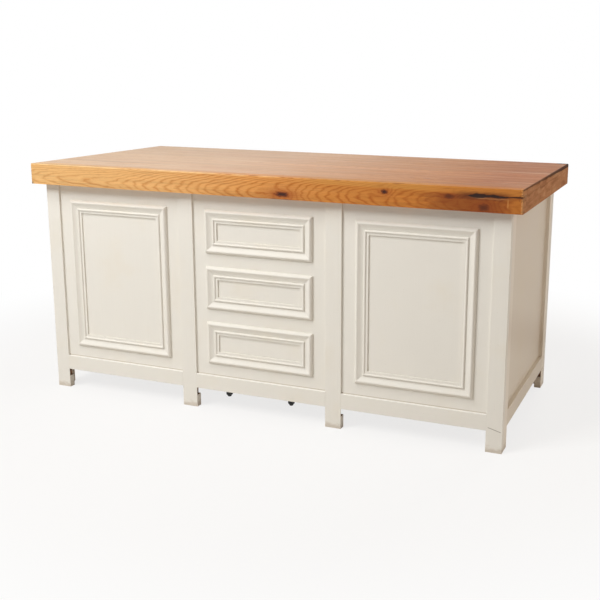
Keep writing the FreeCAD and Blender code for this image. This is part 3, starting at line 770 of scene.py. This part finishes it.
@dataclass(frozen=True)
class CreamPaint:
    """Brushed cream paint with a faint grain under it, a little yellowed and marked.

    crack adds the right front leg's crack; handled adds the right end's scuffs, a painted
    reflection band across its board and a painted highlight on its rear stile's front edge;
    gap places a dot of painted shade at a panel's foot, over a line of painted shade where
    the panel meets its rail; and ledge paints a highlight along a rail's upper arris.
    """

    name: str
    grain: Grain
    seed: float
    cut: Cut = Cut.NONE
    crack: bool = False
    # Place along x of a dot of painted shade at a panel's foot.
    gap: Optional[float] = None
    # A painted highlight along a rail's upper arris.
    ledge: bool = False
    # Right end only: scuffs, a painted reflection band and a painted highlight on the rear stile.
    handled: bool = False
    rough: float = 0.46
    relief: float = 0.12
    gloss: float = 0.28
    tint: Colour = shade(232, 228, 219)
    aged: Colour = shade(224, 214, 194)
    speck: Colour = shade(176, 160, 132)
    # The tint that darkens each board towards the floor.
    near_floor_tint: Colour = shade(170, 150, 124)
    bare: tuple[Colour, Colour] = (shade(96, 62, 38), shade(150, 108, 70))
    crack_tint: Colour = shade(92, 68, 48)
    # Tints of the painted shade at a panel's foot: the dot and the line.
    gap_tints: tuple[Colour, Colour] = (shade(96, 72, 50), shade(150, 124, 96))
    # Tint of the painted highlight on a rail's upper arris.
    ledge_tint: Colour = shade(250, 248, 243)
    # Tints of the painted reflection band, the painted stile highlight and the scuffs.
    wear_and_light_tints: tuple[Colour, ...] = (
        shade(180, 158, 132), shade(244, 234, 214), shade(140, 110, 82)
    )

    def material(self) -> bpy.types.Material:
        """Build the paint's material.

        Returns:
            The finished material.
        """
        graph = Graph(self.name)
        z = graph.z
        brush = graph.noise(self.grain.value, self.seed, 3.0)
        coarse = tuple(size * 2.6 for size in self.grain.value)
        veins = graph.noise(coarse, self.seed + 5, 2.0, 0.3)
        clouds = graph.noise((150, 150, 150), self.seed + 9, 3.0)
        specks = graph.rise(graph.noise((3.4, 3.4, 3.4), self.seed + 15, 1.0), 0.74, 0.8)
        colour = graph.blend(graph.rise(clouds, 0.45, 0.85) * 0.35, self.tint, self.aged)
        colour = graph.dim(colour, 0.975 + brush * 0.035 + (clouds - 0.5) * 0.05)
        ragged = graph.noise((26, 26, 18), self.seed + 19, 3.0)
        # Darker towards the floor, over the lowest few centimetres of every painted board.
        darker_near_floor = 1.0 - graph.rise(z + (ragged - 0.5) * 40, 4, 26)
        coat = Coat(graph, colour, brush * 0.6 + veins * 0.8 - specks * 0.2)
        coat.stain((specks * 0.25, self.speck), (darker_near_floor * 0.45, self.near_floor_tint))
        raw = self._raw(graph)
        if raw is not None:
            streak = graph.noise((2.0, 2.0, 40.0), self.seed + 21, 3.0)
            bare = graph.dim(graph.blend(streak, *self.bare), 0.8 + streak * 0.4)
            coat.stain((raw, bare))
            coat.sink(raw, 2.0)
        if self.crack:
            self._crack(coat, clouds)
        if self.gap is not None:
            self._panel_foot_shade(coat, self.gap)
        if self.ledge:
            # Painted highlight along the rail's upper arris.
            lit = graph.rise(z, RAIL_TOP - 3.5, RAIL_TOP - 1)
            coat.stain((lit * 0.6, self.ledge_tint))
        if self.handled:
            self._right_end_wear_and_light(coat, clouds)
        rough = self.rough + brush * 0.1 + (clouds - 0.5) * 0.14
        return coat.surface(rough, self.relief, self.gloss)

    def _crack(self, coat: Coat, clouds: Signal) -> None:
        """Run a fine crack across the foot of the right front leg.

        Args:
            coat: The paint's coat.
            clouds: A soft noise.
        """
        graph = coat.graph
        line = 87.3 - (graph.x - 864) * 0.25 + (clouds - 0.5) * 9
        near = 1.0 - graph.rise(abs(graph.z - line), 0.5, 1.5)
        mark = graph.window(graph.x, 860, 905, 6) * near
        coat.stain((mark * 0.75, self.crack_tint))
        coat.sink(mark, 3.0)

    def _panel_foot_shade(self, coat: Coat, gap: float) -> None:
        """Paint shade where a panel meets its rail: a brown line along its foot and a dark dot
        at one end, both painted shade.

        Args:
            coat: The paint's coat.
            gap: The place along x of the dot of painted shade.
        """
        graph = coat.graph
        away = graph.maths("SQRT", (graph.x - gap) ** 2 + (graph.z - RAIL_TOP - 1.0) ** 2)
        # A dot of painted shade in the corner at the panel's foot.
        painted_shade_dot = 1.0 - graph.rise(away, 2.5, 5.5)
        # A line of painted shade where the panel meets its rail.
        foot = graph.window(graph.z, RAIL_TOP - 2, RAIL_TOP + 4, 2.5)
        coat.stain(*zip((painted_shade_dot * 0.7, foot * 0.35), self.gap_tints))

    def _right_end_wear_and_light(self, coat: Coat, clouds: Signal) -> None:
        """Add the right end's painted reflection, a darker diagonal band; a painted highlight on
        its rear stile's front edge; and the scuffs at its foot.

        Args:
            coat: The paint's coat.
            clouds: A soft noise.
        """
        graph = coat.graph
        y, z = graph.y, graph.z
        # A darker diagonal band across the end: a painted reflection in the glossy paint.
        fall = z + (y + 297.0) * 0.2995 - 399.0 + (clouds - 0.5) * 24
        painted_reflection_band = graph.window(fall, -60, 60, 120)
        # Painted highlight along the rear stile's front edge.
        outside = graph.rise(abs(graph.x), SIDE_FACE - 2, SIDE_FACE - 0.5)
        edge = graph.window(y, 315, 323, 3) * outside
        # Real scuffs and scratches low on the end.
        scratch = graph.rise(graph.noise((14, 22, 9), 3.7, 4.0), 0.52, 0.66)
        low = graph.window(y, 225, 372, 30) * graph.window(z, 40, 128, 30) * scratch
        coat.stain(*zip((painted_reflection_band * 0.24, edge * 0.5, low * 0.45), self.wear_and_light_tints))

    def _raw(self, graph: Graph) -> Optional[Signal]:
        """Find the open housings under the rails, which were never painted.

        Args:
            graph: The paint's graph.

        Returns:
            The mask of the raw wood, or None where the board has no housing.
        """
        if self.cut is Cut.NONE:
            return None
        low = graph.window(graph.z, *HOUSING_HEIGHTS, 0.8)
        if self.cut is Cut.ACROSS_X:
            side = abs(graph.x)
            first, second, third = (
                graph.window(side, edge, edge + HOUSING_DEPTH, 0.3)
                for edge in (263.8, 314.6, 852.8)
            )
            within = graph.window(graph.y, 1.3 - FRAME_HALF, 373.7, 0.3)
            return low * (first + second + third) * within
        first, second = (
            graph.window(graph.y, edge, edge + HOUSING_DEPTH, 0.3) for edge in (-355.4, 304.8)
        )
        inside = 1.0 - graph.rise(abs(graph.x), SIDE_FACE - 1.7, SIDE_FACE - 1.4)
        return low * (first + second) * inside


@dataclass(frozen=True)
class BareTimber:
    """Plain pale timber, unpainted, for the boxes, runners and inside boards."""

    name: str
    grain: Grain
    seed: float

    def material(self) -> bpy.types.Material:
        """Build the timber's material.

        Returns:
            The finished material.
        """
        graph = Graph(self.name)
        wide = tuple(size * 3.4 for size in self.grain.value)
        bands = graph.noise(wide, self.seed, 2.0, 0.6)
        lines = graph.maths("FRACT", bands * 9.0)
        fine = graph.noise(tuple(size * 0.6 for size in self.grain.value), self.seed + 4, 3.0)
        tone = graph.ramp(lines, ((0.0, 0.5), (0.2, 0.1), (0.8, 0.25), (1.0, 0.5)))
        colour = graph.blend(tone, shade(222, 192, 148), shade(186, 146, 98))
        colour = graph.dim(colour, 0.88 + fine * 0.22)
        rough = 0.52 + fine * 0.14
        return graph.surface(colour, rough, graph.relief(fine * 0.7 - tone * 0.4, 0.12))


@dataclass(frozen=True)
class Brass:
    """Old brass for the hinges and their screws, dulled unevenly."""

    name: str
    seed: float

    def material(self) -> bpy.types.Material:
        """Build the brass.

        Returns:
            The finished material.
        """
        graph = Graph(self.name)
        cloud = graph.noise((14, 14, 14), self.seed, 3.0)
        fine = graph.noise((0.7, 0.7, 9.0), self.seed + 2, 2.0)
        dulled = graph.rise(cloud, 0.35, 0.75) * 0.6
        colour = graph.blend(dulled, shade(205, 168, 98), shade(128, 96, 52))
        rough = 0.26 + cloud * 0.24 + fine * 0.08
        return graph.surface(colour, rough, graph.relief(fine, 0.03), 1.0)


@dataclass(frozen=True)
class BlackPlastic:
    """Moulded black plastic for the levelling feet, with a screw thread on the stem."""

    name: str
    seed: float
    stems: tuple[tuple[float, float], ...] = ()
    pitch: float = 1.5
    stem_reach: float = 6.0
    thread_from: float = 23.5

    def material(self) -> bpy.types.Material:
        """Build the plastic.

        Returns:
            The finished material.
        """
        graph = Graph(self.name)
        peel = graph.noise((0.9, 0.9, 0.9), self.seed, 2.0)
        dust = graph.noise((18, 18, 12), self.seed + 6, 3.0)
        low = 1.0 - graph.rise(graph.z, 2, 26)
        dusty = graph.rise(dust, 0.45, 0.8) * (0.18 + low * 0.4)
        colour = graph.blend(dusty, shade(24, 24, 25), shade(92, 86, 78))
        height = peel * 0.25
        for stem_x, stem_y in self.stems:
            near = 1.0 - graph.rise(abs(graph.x - stem_x), self.stem_reach, self.stem_reach + 0.5)
            round_ = graph.maths("ARCTAN2", graph.y - stem_y, graph.x - stem_x) / math.tau
            wave = graph.maths("PINGPONG", graph.z / self.pitch + round_, 0.5) * 2.0
            above = graph.rise(graph.z, self.thread_from, self.thread_from + 1.0)
            height = height + wave * near * above * 3.0
        rough = 0.38 + dust * 0.22
        return graph.surface(colour, rough, graph.relief(height, 0.12))


@dataclass(frozen=True)
class StudioFloor:
    """A white floor that keeps the unit's soft shadow and turns plain white further off."""

    name: str
    kept: float = 0.22
    near: float = 1200.0
    far: float = 2300.0
    colour: Colour = (0.80, 0.77, 0.73, 1.0)

    def material(self) -> bpy.types.Material:
        """Build the floor's material.

        Returns:
            The finished material.
        """
        graph = Graph(self.name)
        far = graph.maths("SQRT", graph.x**2 + graph.y**2)
        shown = 1.0 - (1.0 - graph.rise(far, self.near, self.far)) * self.kept
        matt = graph.node("ShaderNodeBsdfDiffuse", {}, {"Color": self.colour})
        share = graph.seen() * shown
        graph.show_white(share, matt.outputs[0], "ShaderNodeEmission", "ShaderNodeOutputMaterial")
        return graph.material


def dress(node: str, material: bpy.types.Material) -> None:
    """Give a carried-over node its material.

    Args:
        node: The node's name.
        material: The finished material.
    """
    piece = frame["nodes"][node]
    if not piece.material_slots:
        piece.data.materials.append(material)
    for slot in piece.material_slots:
        slot.material = material
    log.info("%s dressed in %s", node, material.name)


def paint(node: str, name: str, grain: Grain, seed: float, **more: Any) -> None:
    """Give a carried-over node a cream paint of its own.

    Args:
        node: The node's name.
        name: What its paint is called, after "paint_".
        grain: The way its brush marks run.
        seed: The paint's seed.
        more: Other fields of the paint.
    """
    dress(node, CreamPaint(f"paint_{name}", grain, seed, **more).material())


def deselect() -> None:
    """Leave edit mode and deselect every object."""
    if bpy.context.object is not None and bpy.context.object.mode != "OBJECT":
        bpy.ops.object.mode_set(mode="OBJECT")
    bpy.ops.object.select_all(action="DESELECT")


@dataclass
class Worktop:
    """The oak top: a lipping along the front, three wide planks and one at the rear."""

    planks: tuple[str, ...] = ("worktop_plank_1", "worktop_plank_2", "worktop_plank_3")
    plank_centres: tuple[float, ...] = (-289.2, -57.5, 174.2)
    pith_depths: tuple[float, ...] = (96.0, 150.0, 74.0)
    plank_tones: tuple[float, ...] = (0.97, 1.04, 0.95)
    # How much paler the tops are: partly bleached oak, partly painted sheen.
    bleach_and_sheen_share: float = 0.6

    def build(self) -> None:
        """Dress the lipping and the planks, each as a board of its own."""
        knots = (
            Knot(116.0, 840.0, 8.5, 3.0, 9.0, 0.85),
            Knot(490.0, 869.5, 7.5, 1.5, 7.0, 0.5),
            Knot(709.8, 867.0, 7.5, 2.2, 6.0, 0.6),
            Knot(825.5, 837.0, 11.5, 1.5, 10.0, 0.65),
        )
        lipping = OakBoard(
            "oak_lipping", -355.0, 846.0, 0.045, 1.3, flat_from=-560.0, knots=knots, lipping=True
        )
        dress("worktop_front_lipping", lipping.material())
        rows = zip(self.planks, self.plank_centres, self.pith_depths, self.plank_tones)
        for number, (node, centre, depth, tone) in enumerate(rows):
            name, seed = f"oak_plank_{number + 1}", 5.1 + number * 2.9
            pith = (centre + 12, TOP - depth)
            board = OakBoard(name, *pith, 0.03, seed, tone=tone, bleach_and_sheen_share=self.bleach_and_sheen_share)
            dress(node, board.material())
        rear = OakBoard(
            "oak_rear_plank", 362.0, 790.0, 0.04, 17.7, tone=0.96, bleach_and_sheen_share=self.bleach_and_sheen_share
        )
        dress("worktop_rear_plank", rear.material())


@dataclass
class PanelledFace:
    """The fixed front: stiles that run down as legs, rails, plain boards and mouldings."""

    bays: tuple[str, ...] = ("left", "centre", "right")
    # Where the dot of painted shade sits on each panel's foot, along x.
    gaps: tuple[float, ...] = (-852.0, -263.0, 326.0)
    mouldings: tuple[str, ...] = ("left", "right", "top", "middle", "bottom")

    def build(self) -> None:
        """Dress every painted board of the front."""
        for number, side in enumerate(("left", "right")):
            cracked = {"cut": Cut.ACROSS_X, "crack": side == "right"}
            corner, middle = f"corner_stile_{side}", f"mid_stile_{side}"
            paint(f"front_{corner}", corner, Grain.UPRIGHT, 2.1 + number, **cracked)
            paint(f"front_{middle}", middle, Grain.UPRIGHT, 4.4 + number, cut=Cut.ACROSS_X)
        for number, (bay, gap) in enumerate(zip(self.bays, self.gaps)):
            paint(f"front_rail_{bay}", f"rail_{bay}", Grain.ALONG_X, 6.2 + number, ledge=True)
            paint(f"front_panel_{bay}", f"panel_{bay}", Grain.UPRIGHT, 9.7 + number, gap=gap)
        for number, name in enumerate(self.mouldings):
            paint(f"panel_moulding_{name}", f"moulding_{name}", Grain.UPRIGHT, 13.3 + number)


@dataclass
class Ends:
    """The two ends: stiles, a rail and a plain board each. Rails and boards are a darker,
    warmer cream, partly yellowed and partly painted shade; the stiles are painted lighter.
    """

    sides: tuple[str, ...] = ("left", "right")
    # Darker, warmer cream of the end rails and boards: partly yellowing, partly painted shade.
    tint: Colour = shade(226, 216, 200)
    # Lighter cream of the end stiles: painted light.
    stile_painted_light_tint: Colour = shade(238, 230, 217)

    def build(self) -> None:
        """Dress the painted boards of both ends."""
        for number, side in enumerate(self.sides):
            handled = side == "right"
            for place in ("front", "rear"):
                name, seed = f"side_stile_{side}_{place}", 21.5 + number * 2 + len(place)
                more = {"cut": Cut.ACROSS_Y, "handled": handled, "tint": self.stile_painted_light_tint}
                paint(name, name, Grain.UPRIGHT, seed, **more)
            rail, panel = f"side_rail_{side}", f"end_panel_{side}"
            paint(rail, rail, Grain.ALONG_Y, 31.0 + number, tint=self.tint)
            paint(panel, panel, Grain.UPRIGHT, 33.0 + number, handled=handled, tint=self.tint)


@dataclass
class WorkingSide:
    """The rear frame that the doors and drawers close into."""

    sides: tuple[str, ...] = ("left", "right")
    rails: tuple[str, ...] = ("rear_top_rail", "rear_bottom_rails")

    def build(self) -> None:
        """Dress the painted frame of the rear."""
        cut = {"cut": Cut.ACROSS_X}
        for number, side in enumerate(self.sides):
            corner, middle = f"rear_corner_stile_{side}", f"rear_mid_stile_{side}"
            paint(corner, f"rear_corner_{side}", Grain.UPRIGHT, 41.0 + number, **cut)
            paint(middle, f"rear_mid_{side}", Grain.UPRIGHT, 43.0 + number, **cut)
        for number, name in enumerate(self.rails):
            paint(name, name, Grain.ALONG_X, 45.0 + number)


@dataclass
class Carcass:
    """The inside: bottom board, partitions, bearer, shelves, battens and runners."""

    upright: tuple[str, ...] = ("partition_left", "partition_right")
    lengthwise: tuple[str, ...] = ("bottom_board", "worktop_bearer", "shelves")
    crosswise: tuple[str, ...] = ("shelf_battens", "drawer_runners")

    def build(self) -> None:
        """Dress the inside boards in bare timber."""
        groups = (
            (self.upright, Grain.UPRIGHT, 51.0),
            (self.lengthwise, Grain.ALONG_X, 55.0),
            (self.crosswise, Grain.ALONG_Y, 59.0),
        )
        for nodes, grain, seed in groups:
            for number, node in enumerate(nodes):
                dress(node, BareTimber(f"timber_{node}", grain, seed + number).material())


@dataclass
class Doors:
    """The two doors of the working side, with their knobs and hinges."""

    sides: tuple[str, ...] = ("left", "right")

    def build(self) -> None:
        """Dress the doors, knobs and hinge leaves."""
        brass = Brass("brass_hinges", 3.0).material()
        dress("hinge_frame_leaves", brass)
        for number, side in enumerate(self.sides):
            door, knob = f"door_{side}", f"door_knob_{side}"
            paint(door, door, Grain.UPRIGHT, 61.0 + number)
            paint(knob, knob, Grain.ALONG_Y, 63.0 + number)
            dress(f"hinge_door_leaves_{side}", brass)


@dataclass
class HingeScrews:
    """The screw heads on the hinge leaves, three to a leaf, in millimetres."""

    head: float = 3.4
    proud: float = 0.5
    slot_width: float = 0.9
    slot_depth: float = 0.35
    sunk: float = 0.6
    rim: float = 0.28
    segments: int = 24
    smooth_angle: float = 35.0
    first_turn: float = 37.0
    turn_step: float = 53.0
    heights: tuple[float, ...] = (226.0, 613.0)
    along_leaf: tuple[float, ...] = (12.0, 38.0, 64.0)
    depth_y: float = 362.0
    frame_face: float = 853.0
    door_face: float = 850.0

    def build(self) -> None:
        """Model one screw head, copy it along each leaf and let each set ride on its body."""
        master = self._head()
        brass = Brass("brass_screws", 8.0).material()
        sets = (
            ("hinge_screws_frame", "cabinet", self.frame_face, -1, (1, -1)),
            ("hinge_screws_door_right", "door_right", self.door_face, 1, (1,)),
            ("hinge_screws_door_left", "door_left", self.door_face, 1, (-1,)),
        )
        for name, body, face, outward, sides in sets:
            copies = []
            for side in sides:
                for low in self.heights:
                    for up in self.along_leaf:
                        place, count = (face * side, self.depth_y, low + up), len(copies)
                        copies.append(self._copy(master, place, outward * side, count))
            self._join(name, copies, brass)
            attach(bpy.data.objects[name], body)
            log.info("%s built of %d heads on %s", name, len(copies), body)
        bpy.data.objects.remove(master)

    def _head(self) -> bpy.types.Object:
        """Model a slotted screw head that points up, at the origin.

        Returns:
            The head's object.
        """
        deselect()
        depth = self.proud + self.sunk
        centre = (0, 0, (self.proud - depth / 2) * MM)
        bpy.ops.mesh.primitive_cylinder_add(
            vertices=self.segments, radius=self.head * MM, depth=depth * MM, location=centre
        )
        head = bpy.context.object
        head.name = "screw_master"
        bpy.ops.object.transform_apply(location=True, rotation=True, scale=True)
        bpy.ops.object.mode_set(mode="EDIT")
        for side in (-1, 1):
            bpy.ops.mesh.select_all(action="SELECT")
            cut = (0, side * self.slot_width / 2 * MM, 0)
            bpy.ops.mesh.bisect(plane_co=cut, plane_no=(0, 1, 0))
        bpy.ops.object.mode_set(mode="OBJECT")
        top = self.proud * MM
        for face in head.data.polygons:
            face.select = face.normal.z > 0.9 and abs(face.center.y) < self.slot_width / 4 * MM
        bpy.ops.object.mode_set(mode="EDIT")
        bpy.ops.mesh.select_mode(type="FACE")
        down = {"value": (0, 0, -self.slot_depth * MM)}
        bpy.ops.mesh.extrude_region_move(TRANSFORM_OT_translate=down)
        bpy.ops.object.mode_set(mode="OBJECT")
        for edge in head.data.edges:
            ends = [head.data.vertices[i].co for i in edge.vertices]
            rim = all(abs(e.z - top) < 1e-6 and e.xy.length > self.head * MM * 0.97 for e in ends)
            edge.select = rim
        bpy.ops.object.mode_set(mode="EDIT")
        bpy.ops.mesh.select_mode(type="EDGE")
        bpy.ops.mesh.bevel(offset=self.rim * MM, segments=2, affect="EDGES")
        bpy.ops.mesh.select_all(action="SELECT")
        bpy.ops.mesh.remove_doubles(threshold=1e-6)
        bpy.ops.mesh.normals_make_consistent(inside=False)
        bpy.ops.object.mode_set(mode="OBJECT")
        bpy.ops.object.shade_smooth_by_angle(angle=math.radians(self.smooth_angle))
        return head

    def _copy(
        self, master: bpy.types.Object, place: Point, outward: int, number: int
    ) -> bpy.types.Object:
        """Put a copy of the head in one hole, with a mesh of its own.

        Args:
            master: The modelled head.
            place: The hole's centre on the leaf's face.
            outward: 1 where the head points to +x and -1 where it points to -x.
            number: Turns the slot a little, as screws stand in a real hinge.

        Returns:
            The copy.
        """
        copy = master.copy()
        copy.data = master.data.copy()
        bpy.context.collection.objects.link(copy)
        turn = Matrix.Rotation(outward * math.radians(90), 4, "Y")
        turned = math.radians(self.first_turn + self.turn_step * number)
        spin = Matrix.Rotation(turned, 4, "Z")
        copy.data.transform(Matrix.Translation(Vector(place) * MM) @ turn @ spin)
        return copy

    @staticmethod
    def _join(name: str, copies: Sequence[bpy.types.Object], material: bpy.types.Material) -> None:
        """Join the copies of a set and dress them.

        Args:
            name: The joined piece's name.
            copies: The heads.
            material: Their finish.
        """
        deselect()
        for copy in copies:
            copy.select_set(True)
        bpy.context.view_layer.objects.active = copies[0]
        bpy.ops.object.join()
        joined = bpy.context.object
        joined.name = name
        joined.data.name = name
        joined.data.materials.clear()
        joined.data.materials.append(material)


@dataclass
class Drawers:
    """The three drawers between the doors."""

    levels: tuple[str, ...] = ("bottom", "middle", "top")

    def build(self) -> None:
        """Dress the fronts, knobs and boxes."""
        for number, level in enumerate(self.levels):
            front, knob = f"drawer_front_{level}", f"drawer_knob_{level}"
            paint(front, front, Grain.ALONG_X, 71.0 + number)
            paint(knob, knob, Grain.ALONG_Y, 75.0 + number)
            box = BareTimber(f"timber_drawer_box_{level}", Grain.ALONG_Y, 79.0 + number)
            dress(f"drawer_box_{level}", box.material())


@dataclass
class LevellingFeet:
    """The two screw feet under the middle, with the sockets that hold them."""

    places: tuple[tuple[float, float], ...] = ((-208.0, -265.0), (60.0, -265.0))

    def build(self) -> None:
        """Dress the feet and their sockets in black plastic."""
        dress("foot_sockets", BlackPlastic("plastic_sockets", 4.0).material())
        for side, place in zip(("left", "right"), self.places):
            foot = BlackPlastic(f"plastic_foot_{side}", 6.0 + place[0] / 100, (place,))
            dress(f"levelling_foot_{side}", foot.material())


@dataclass
class Lamp:
    """One soft area lamp: its place and aim in metres, its size, power and colour."""

    name: str
    place: Point
    aim: Point
    width: float
    height: float
    power: float
    colour: Point = (1.0, 1.0, 1.0)
    mirrored: bool = True

    def build(self) -> None:
        """Add the lamp and point it."""
        data = bpy.data.lights.new(self.name, "AREA")
        data.shape = "RECTANGLE"
        data.size, data.size_y = self.width, self.height
        data.energy = self.power
        data.color = self.colour
        lamp = bpy.data.objects.new(self.name, data)
        bpy.context.scene.collection.objects.link(lamp)
        lamp.visible_glossy = self.mirrored
        lamp.location = self.place
        ahead = Vector(self.aim) - Vector(self.place)
        lamp.rotation_euler = ahead.to_track_quat("-Z", "Y").to_euler()
        log.info("%s lit", self.name)


@dataclass
class Studio:
    """The floor, the backdrop, the lamps and the camera."""

    sky: float = 0.2
    sky_colour: Colour = (1.0, 0.9, 0.8, 1.0)
    floor_size: float = 60.0
    sensor: float = 36.0
    place: Point = (1.5024, -3.3245, 1.2687)
    yaw: float = 0.3731
    pitch: float = -0.2211
    roll: float = 0.0080
    lens: float = 55.78
    shift: tuple[float, float] = (-0.08626, -0.03975)
    lamps: tuple[Lamp, ...] = (
        Lamp(
            "key_lamp", (-2.4, -4.0, 4.05), (-0.3, -0.4, 0.4), 2.2, 1.8, 186.0, (0.98, 1.0, 1.02)
        ),
        Lamp(
            "top_lamp", (-0.6, -1.9, 3.6), (0.0, -0.3, 0.7), 1.8, 1.0, 42.0, (1.0, 0.99, 0.97),
            mirrored=False,
        ),
        Lamp(
            "warm_fill", (4.2, -0.2, 1.9), (0.9, 0.0, 0.7), 2.0, 1.6, 24.0, (1.0, 0.8, 0.62),
            mirrored=False,
        ),
        Lamp(
            "rear_fill", (1.2, 4.8, 1.7), (0.0, 0.3, 0.45), 3.0, 2.0, 120.0, (1.0, 0.98, 0.95),
            mirrored=False,
        ),
    )

    def build(self) -> None:
        """Build the floor, the sky, the lamps and the camera."""
        bpy.context.scene.view_settings.view_transform = "Standard"
        self._floor()
        self._sky()
        for lamp in self.lamps:
            lamp.build()
        self._camera()

    def _floor(self) -> None:
        """Lay the floor, out to the horizon."""
        deselect()
        bpy.ops.mesh.primitive_plane_add(size=self.floor_size, location=(0, 0, 0))
        floor = bpy.context.object
        floor.name = "studio_floor"
        floor.data.materials.append(StudioFloor("floor_white").material())
        log.info("studio_floor laid")

    def _sky(self) -> None:
        """Make the sky white where it is seen and soft where it only lights."""
        graph = Graph("studio_sky", sky=True)
        feeds = {"Color": self.sky_colour, "Strength": self.sky}
        soft = graph.node("ShaderNodeBackground", {}, feeds).outputs[0]
        graph.show_white(graph.seen(), soft, "ShaderNodeBackground", "ShaderNodeOutputWorld")
        bpy.context.scene.world = graph.material
        log.info("studio_sky made")

    def _camera(self) -> None:
        """Set the camera to the photograph's viewing angle."""
        data = bpy.data.cameras.new("photo_camera")
        data.sensor_width = self.sensor
        data.lens = self.lens
        data.shift_x, data.shift_y = self.shift
        camera = bpy.data.objects.new("photo_camera", data)
        bpy.context.scene.collection.objects.link(camera)
        level = Vector((-math.sin(self.yaw), math.cos(self.yaw), 0.0))
        side = Vector((math.cos(self.yaw), math.sin(self.yaw), 0.0))
        up = Vector((0.0, 0.0, 1.0))
        ahead = level * math.cos(self.pitch) + up * math.sin(self.pitch)
        above = up * math.cos(self.pitch) - level * math.sin(self.pitch)
        right = side * math.cos(self.roll) + above * math.sin(self.roll)
        top = above * math.cos(self.roll) - side * math.sin(self.roll)
        turn = Matrix((right, top, -ahead)).transposed().to_4x4()
        camera.matrix_world = Matrix.Translation(Vector(self.place)) @ turn
        bpy.context.scene.camera = camera
        log.info("photo_camera set")


def main() -> None:
    """Build and dress the unit."""
    logging.basicConfig(level=logging.INFO, format="%(message)s")
    parts = (
        Worktop(), PanelledFace(), Ends(), WorkingSide(), Carcass(),
        Doors(), HingeScrews(), Drawers(), LevellingFeet(), Studio(),
    )
    for part in parts:
        part.build()
        log.info("%s finished", type(part).__name__)


if __name__ == "__main__":
    main()
